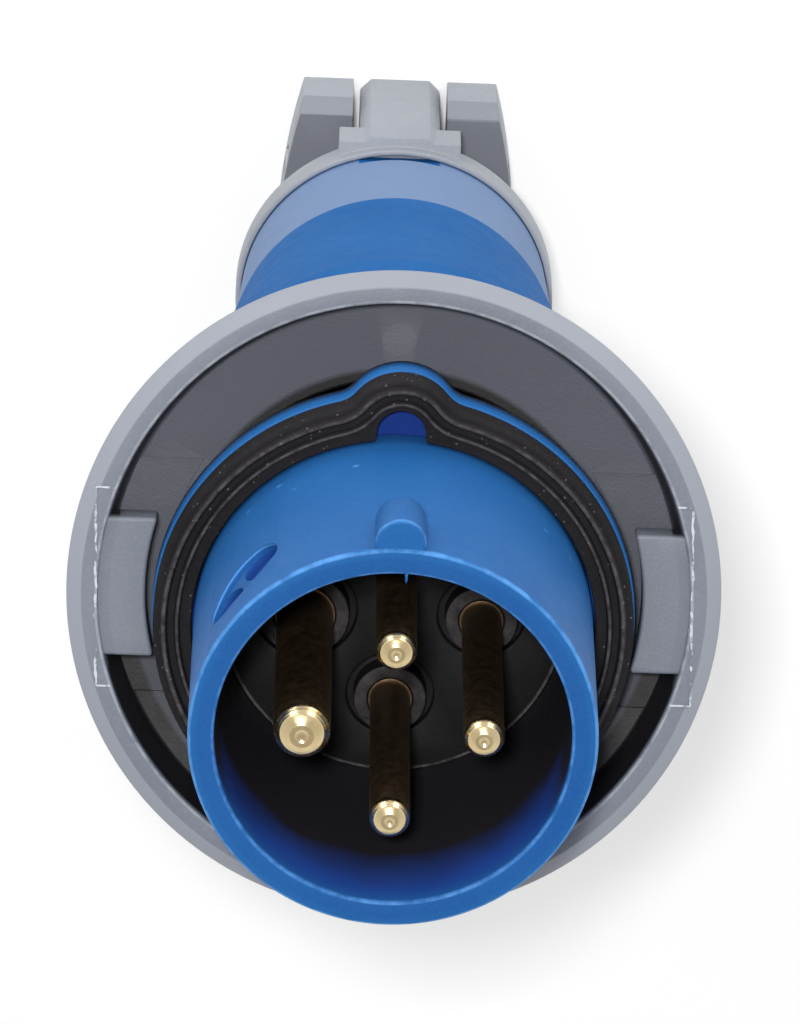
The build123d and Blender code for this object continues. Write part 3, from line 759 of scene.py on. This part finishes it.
def loft(name, rows):
    """Closed solid through rows of (radius, angle from the bump, height), the last joined to the first."""
    work = bmesh.new()
    loops = []
    for row in rows:
        places = [unit(-radius * sin(angle), -radius * cos(angle), height) for radius, angle, height in row]
        loops.append([work.verts.new(place) for place in places])
    for lower, upper in zip(loops, loops[1:] + loops[:1]):
        for k in range(len(lower)):
            after = (k + 1) % len(lower)
            work.faces.new((lower[k], lower[after], upper[after], upper[k]))
    return finish_mesh(work, name)


turn_steps = flange_angles()
flange_root = sleeve_radius - 1.2
flange_section = [
    (0.3, flange_back_z), (0.09, flange_back_z + 0.09), (0, flange_back_z + 0.3),
    (0, flange_front_z - 0.4), (0.06, flange_front_z - 0.2),
    (0.2, flange_front_z - 0.06), (0.4, flange_front_z),
]
flange_rows = [[(flange_root, angle, flange_back_z) for angle in turn_steps]]
for inset, height in flange_section:
    flange_rows.append([(outline_radius(angle, inset), angle, height) for angle in turn_steps])
flange_rows.append([(flange_root, angle, flange_front_z) for angle in turn_steps])
join(housing, loft("flange", flange_rows))

key = lathe("key", rounded([
    (0, mouth_z - key_length, 0),
    (0, mouth_z, 0),
    (key_radius, mouth_z, 0.5),
    (key_radius, mouth_z - key_length, 1.6),
]), (0, -key_centre), 64)
cut(key, rod("key_root", sleeve_radius - 1.0, 0, 2 * mouth_z, segments=SEGMENTS))
join(housing, key)


def ellipse(length, width, shift=0.0, count=64):
    """Outline of an oval of the slanted recess, moved along its length."""
    points = []
    for k in range(count):
        along = shift + length / 2 * cos(2 * pi * k / count)
        across = width / 2 * sin(2 * pi * k / count)
        points.append((along * cos(recess_slant) - across * sin(recess_slant),
                       along * sin(recess_slant) + across * cos(recess_slant)))
    return points


recess_frame = radial_frame(recess_angle, recess_z)
middle_oval = (recess_depth, recess_length, recess_width)
lobe_oval = (lobe_depth, lobe_length, lobe_width)
for shift, (depth, length, width) in ((0, middle_oval), (-lobe_shift, lobe_oval), (lobe_shift, lobe_oval)):
    oval = ellipse(length, width, shift)
    tool = prism("recess", oval, sleeve_radius - 4, sleeve_radius + 4, recess_frame)
    cut(tool, rod("recess_floor", sleeve_radius - depth, 0, 2 * mouth_z, segments=SEGMENTS))
    cut(housing, tool)

for angle in (radians(45), radians(225)):
    place = (carrier_screw_circle * cos(angle), carrier_screw_circle * sin(angle))
    lug_end_z = carrier_back_z - carrier_lug_length
    join(housing, rod("screw_lug", carrier_lug_radius, lug_end_z, carrier_back_z, place))
    cut(housing, rod("screw_hole", small_screw_hole, lug_end_z - 1, carrier_back_z + 1, place))
lock_frame = radial_frame(pi / 2, lock_screw_z)
cut(housing, rod("lock_hole", lock_screw_hole, spigot_radius - 1.4, spigot_radius + 1, matrix=lock_frame))

# A whisker of plastic left at the mould's gate, on the inner edge of the mouth
whisker_root = Matrix.Translation(unit(-0.8, -sleeve_bore - 0.1, mouth_z - 0.35))
whisker_frame = whisker_root @ Matrix.Rotation(radians(-75), 4, "X")
whisker_outline = [(0, -0.3), (0.22, -0.3), (0.16, 0.9), (0, 1.3)]
join(housing, lathe("whisker", whisker_outline, segments=12, matrix=whisker_frame))
place_piece(housing, "sleeve_housing", "plug", sleeve_blue)


# Gasket: its section follows the flange's outline, and its inner edge the sleeve and the key's slot
def gasket_inner(angle):
    """Radius of the gasket's inner edge at an angle from the middle of the bump."""
    angle = abs((angle + pi) % (2 * pi) - pi)
    ring = sleeve_radius + running_gap
    if angle > pi / 2:
        return ring
    middle = slot_reach - slot_radius
    side = slot_radius / sin(angle) if angle > 1e-6 else 1e6
    if side * cos(angle) > middle:
        near = middle * cos(angle)
        side = near + sqrt(max(near ** 2 - middle ** 2 + slot_radius ** 2, 0))
    return max(ring, side)


gasket_section = [
    (0.2, flange_front_z), (0.2, gasket_top - 0.3), (0.29, gasket_top - 0.09), (0.5, gasket_top),
    # Outer ridge
    (0.95, gasket_top), (1.05, gasket_top + 0.4), (1.2, ridge_top - 0.08), (1.45, ridge_top),
    (1.75, ridge_top - 0.05), (1.95, gasket_top + 0.4), (2.05, gasket_top),
    # Inner ridge
    (2.75, gasket_top), (2.85, gasket_top + 0.35), (3.0, ridge_top - 0.06), (3.2, ridge_top),
    (3.4, ridge_top - 0.06), (3.52, gasket_top + 0.35), (3.6, gasket_top),
]
gasket_rows = []
for inset, height in gasket_section:
    # Where the slot comes near the edge, the rows keep a little apart
    spare = 0.02 * (4 - inset)
    gasket_rows.append([(max(outline_radius(angle, inset), gasket_inner(angle) + spare), angle, height)
                        for angle in turn_steps])
for gap, height in ((0.15, gasket_top), (0, gasket_top - 0.15), (0, flange_front_z)):
    gasket_rows.append([(gasket_inner(angle) + gap, angle, height) for angle in turn_steps])
gasket = loft("gasket_look", gasket_rows)
place_piece(gasket, "gasket", "plug", black_rubber)

# Locking ring, in its own tipped frame
ring = lathe("locking_ring_look", rounded([
    (rim_inner, rim_front, 0.3),
    (rim_inner + 2.0, rim_front, 0.4),
    (ring_radius, rim_front - 1.6, 0.8),
    (skirt_radius, skirt_back, 0.6),
    (skirt_bore, skirt_back, 0.5),
    (skirt_bore, floor_back, 0.8),
    (ring_hub_radius, floor_back, 0.5),
    (ring_hub_radius, -ring_half_hub, 0.4),
    (ring_bore, -ring_half_hub, 0.4),
    (ring_bore, floor_front, 0.5),
    (dish_foot, floor_front, 0.6),
]), segments=256, matrix=ring_frame)


def arc(radius, half, side, forward=True, count=24):
    """Points of an arc of a ring's side, over half the width on both sides of its middle."""
    reach = asin(half / radius)
    steps = [-reach + 2 * reach * k / count for k in range(count + 1)]
    if not forward:
        steps.reverse()
    return [(side * radius * cos(angle), side * radius * sin(angle)) for angle in steps]


for side in (1, -1):
    pocket = arc(dish_foot - 0.1, pocket_half_width, side)
    pocket += arc(pocket_inner, pocket_half_width, side, False)
    cut(ring, prism("pocket", pocket, floor_front - pocket_depth, floor_front + 1.0, ring_frame))
for side in (1, -1):
    inner_arc = arc(lug_inner, lug_half_width, side, count=16)
    corners = [(x, y, 1.2 if k in (0, 16) else 0) for k, (x, y) in enumerate(inner_arc)]
    lug_root = side * (rim_inner + 0.6)
    corners += [(lug_root, side * lug_half_width, 0), (lug_root, -side * lug_half_width, 0)]
    lug = prism("lug", rounded(corners), lug_front - lug_depth, lug_front, ring_frame)
    soften(lug, 0.5, 4, 50)
    join(ring, lug)

# Marks of the mould: jagged seams round the lugs' inserts, and an ejector's disc on the floor
chance = random.Random(SEED)
seam_x = 37.15
seam_half = 12.6
seam_steps = 34
seam_lean = -0.03
for side in (1, -1):
    outer = []
    inner = []
    for k in range(seam_steps + 1):
        y = -seam_half + 2 * seam_half * k / seam_steps
        middle = side * seam_x + seam_lean * y + chance.uniform(-0.1, 0.1)
        outer.append((middle + side * chance.uniform(0.06, 0.3), y))
        inner.append((middle - side * chance.uniform(0.05, 0.16), y))
    join(ring, prism("seam", outer + inner[::-1], rim_front - 1.2, rim_front + 0.1, ring_frame))
    for end in (1, -1):
        foot = sqrt(rim_inner ** 2 - seam_half ** 2) + 0.15
        reach = sorted((side * foot, side * seam_x + seam_lean * end * seam_half))
        width = (end * seam_half - 0.12, end * seam_half + 0.12)
        join(ring, block("tick", reach, width, (rim_front - 1.0, rim_front + 0.09), ring_frame))
mark_top = floor_front + mark_height
join(ring, rod("ejector_mark", mark_radius, floor_front - 0.5, mark_top, mark_place, ring_frame))
place_piece(ring, "locking_ring", "ring", ring_grey)

# Pins: turned, with a dimple in the tip and a barrel with the conductor's hole behind the carrier
EARTH_RADIUS = 3.5
LINE_RADIUS = 2.5
LINE_DROP = 0.2
pin_places = {
    "earth_pin": (0, EARTH_RADIUS, 0),
    "line_pin_1": (90, LINE_RADIUS, LINE_DROP),
    "line_pin_2": (180, LINE_RADIUS, LINE_DROP),
    "line_pin_3": (270, LINE_RADIUS, LINE_DROP),
}
boss_top_z = mouth_z - 37.2
pin_step = 0.3
barrel_front_z = carrier_back_z + 4.0
barrel_rear_z = barrel_front_z - 19.0
conductor_hole = 2.2
conductor_end_z = barrel_rear_z + 11.0
terminal_screw_z = barrel_rear_z + 5.5
terminal_screw_hole = 1.6
for node, (turn, radius, drop) in pin_places.items():
    tip_z = mouth_z - drop
    angle = radians(turn)
    centre = (pin_circle * cos(angle), pin_circle * sin(angle))
    pin = lathe(node + "_look", rounded([
        (0, tip_z - 0.5, 0),
        (0.25 * radius, tip_z, 0.25),
        (0.42 * radius, tip_z, 0.35),
        (0.76 * radius, tip_z - 0.2 * radius, 0.9),
        (radius, tip_z - 0.52 * radius, 0.7),
        (radius, boss_top_z, 0),
        (radius + pin_step, boss_top_z, 0.1),
        (radius + pin_step, barrel_front_z, 0),
        (barrel_radius, barrel_front_z, 0.3),
        (barrel_radius, barrel_rear_z, 0.3),
        (conductor_hole, barrel_rear_z, 0.2),
        (conductor_hole, conductor_end_z, 0),
        (0, conductor_end_z, 0),
    ]), centre, 64)
    screw_frame = Matrix.Translation(unit(*centre, 0)) @ radial_frame(angle, terminal_screw_z)
    cut(pin, rod("screw_way", terminal_screw_hole, 0, 2 * barrel_radius, matrix=screw_frame))
    place_piece(pin, node, "plug", pin_brass)

# Rear body
body = lathe("rear_body_look", rounded([
    (spigot_radius + seat_gap, body_front_z, 0.2),
    (front_collar_radius, body_front_z, 0.6),
    (front_collar_radius, collar_foot_z, 0.6),
    (body_radius, shoulder_z, 0),
    (body_end_radius, lip_end_z, 0),
    (body_end_radius, body_rear_z, 0),
    (rear_bore, body_rear_z, 0),
    (rear_bore, body_rear_z + rear_bore_depth, 0),
    (cord_bore, body_rear_z + rear_bore_depth, 0),
    (cord_bore, body_rear_z + cord_bore_depth, 0),
    (body_end_radius - body_wall, body_rear_z + cord_bore_depth, 0),
    (body_radius - body_wall, shoulder_z + body_wall, 0),
    (body_radius - body_wall, spigot_end_z - running_gap, 0),
    (spigot_radius + seat_gap, spigot_end_z - running_gap, 0),
]))
notch_flat = sqrt(body_end_radius ** 2 - notch_half ** 2)
notch_height = (body_rear_z, lip_end_z + notch_length)
cut(body, block("notch", (-notch_half, notch_half), (-body_radius - 1, -notch_flat), notch_height))
cut(body, rod("lock_way", lock_screw_hole, spigot_radius - 1, front_collar_radius + 1, matrix=lock_frame))
for side in (1, -1):
    cut(body, rod("collar_screw_way", small_screw_hole, body_rear_z - 1, body_rear_z + collar_screw_depth,
                  (side * collar_screw_place, 0)))
place_piece(body, "rear_body", "plug", body_blue, 7)

# The other solids keep their CAD form and get rounded edges
softened = {
    "rear_collar": ("plug", "grey_plastic", grey_plastic, 0.35),
    "contact_carrier": ("plug", "black_plastic", black_plastic, 0.2),
    "clamp_jaw_left": ("jaw_left", "grey_plastic", jaw_plastic, 0.4),
    "clamp_jaw_right": ("jaw_right", "grey_plastic", jaw_plastic, 0.4),
    "clamp_screws": ("jaw_left", "screw_steel", screw_steel, 0.12),
    "clamp_nuts": ("jaw_right", "screw_steel", screw_steel, 0.12),
}
for node, (body_name, slot, material, width) in softened.items():
    place_piece(rounded_copy(node, width), node, body_name, material)

# Camera: in front of the mouth and to the key's side, with the key at the top of the image
VIEW_TILT = radians(24.0)
VIEW_TURN = radians(2.2)
VIEW_DISTANCE = 1000.0
MOUTH_SCALE = 8.3
IMAGE_WIDTH = 800
IMAGE_HEIGHT = 1024
MOUTH_PIXEL = (393, 740)
SENSOR = 36.0

focal_pixels = MOUTH_SCALE * VIEW_DISTANCE
below_centre = MOUTH_PIXEL[1] - IMAGE_HEIGHT / 2
axis_tilt = VIEW_TILT - atan2(below_centre, focal_pixels)
camera_data = bpy.data.cameras.new("camera")
camera_data.sensor_width = SENSOR
camera_data.lens = focal_pixels / IMAGE_HEIGHT * SENSOR
camera_data.clip_end = 20.0
camera = bpy.data.objects.new("camera", camera_data)
bpy.context.scene.collection.objects.link(camera)
lean = Vector((sin(VIEW_TURN), -cos(VIEW_TURN), 0))
right = Vector((-cos(VIEW_TURN), -sin(VIEW_TURN), 0))
up = lean * cos(axis_tilt) - Vector((0, 0, sin(axis_tilt)))
back = lean * sin(axis_tilt) + Vector((0, 0, cos(axis_tilt)))
mouth = Vector((0, 0, mouth_z))
viewpoint = mouth + (lean * sin(VIEW_TILT) + Vector((0, 0, cos(VIEW_TILT)))) * VIEW_DISTANCE
viewpoint += right * (IMAGE_WIDTH / 2 - MOUTH_PIXEL[0]) / MOUTH_SCALE
turned = Matrix((right, up, back)).transposed().to_4x4()
camera.matrix_world = Matrix.Translation(viewpoint * MM) @ turned
bpy.context.scene.camera = camera

# Floor: white to the camera, with the plug's soft shadow on it; narrow gaps below the plug stay dark
floor_half = 3.0
corners = [(x * floor_half, y * floor_half, 0) for x, y in ((-1, -1), (1, -1), (1, 1), (-1, 1))]
floor_mesh = bpy.data.meshes.new("floor")
floor_mesh.from_pydata(corners, [], [(0, 1, 2, 3)])
floor = link(floor_mesh, "floor")
FLOOR_GLOW = 0.46
paper = Nodes("floor_white")
paper_clouds = paper.spread(paper.noise(0.01, 1), 0, 1)
paper_tone = paper.mix(paper_clouds, srgb(250, 250, 250), srgb(253, 253, 253))
paper.finish(paper_tone, 0.9, paper.bump(paper.noise(0.8, 0), 0.02))
glow = paper.add("ShaderNodeEmission")
glow.inputs["Color"].default_value = (1, 1, 1, 1)
rays = paper.add("ShaderNodeLightPath")
seen = paper.math("MAXIMUM", rays.outputs["Is Camera Ray"], rays.outputs["Is Glossy Ray"])
cover = paper.add("ShaderNodeAmbientOcclusion", samples=2)
cover.inputs["Distance"].default_value = 30 * MM
open_floor = paper.spread(cover.outputs["AO"], 0, FLOOR_GLOW, 0.2, 0.4)
blend = paper.add("ShaderNodeMixShader")
paper.link(paper.both(seen, open_floor), blend.inputs["Fac"])
paper.link(paper.shader.outputs["BSDF"], blend.inputs[1])
paper.link(glow.outputs["Emission"], blend.inputs[2])
paper.link(blend.outputs["Shader"], paper.tree.nodes["Material Output"].inputs["Surface"])
floor_mesh.materials.append(paper.material)

# Studio: brighter round the horizon than overhead
HORIZON_LEVEL = 0.9
ZENITH_LEVEL = 0.35
world = bpy.data.worlds.new("studio")
world.use_nodes = True
world.node_tree.nodes["Background"].inputs["Color"].default_value = (1, 1, 1, 1)
sky = world.node_tree
sky_place = sky.nodes.new("ShaderNodeTexCoord")
sky_height = sky.nodes.new("ShaderNodeSeparateXYZ")
sky_level = sky.nodes.new("ShaderNodeMapRange")
sky_level.inputs["To Min"].default_value = HORIZON_LEVEL
sky_level.inputs["To Max"].default_value = ZENITH_LEVEL
sky.links.new(sky_place.outputs["Generated"], sky_height.inputs["Vector"])
sky.links.new(sky_height.outputs["Z"], sky_level.inputs["Value"])
sky.links.new(sky_level.outputs["Result"], sky.nodes["Background"].inputs["Strength"])
bpy.context.scene.world = world


def lamp(name, position, size, power):
    """Square soft lamp at a position in millimetres, turned to the middle of the plug."""
    data = bpy.data.lights.new(name, "AREA")
    data.size = size * MM
    data.energy = power
    lamp_object = bpy.data.objects.new(name, data)
    bpy.context.scene.collection.objects.link(lamp_object)
    lamp_object.location = unit(*position)
    aim = Vector(unit(0, 0, 110)) - lamp_object.location
    lamp_object.rotation_euler = aim.to_track_quat("-Z", "Y").to_euler()


# Two lamps light the plug from the top of the image; a small one near the camera casts the shadow
lamp("left_lamp", (560, -900, 420), 420, 1.9)
lamp("right_lamp", (-520, -900, 420), 420, 1.6)
lamp("shadow_lamp", (60, -450, 1100), 70, 8)

bpy.context.scene.view_settings.view_transform = "Standard"
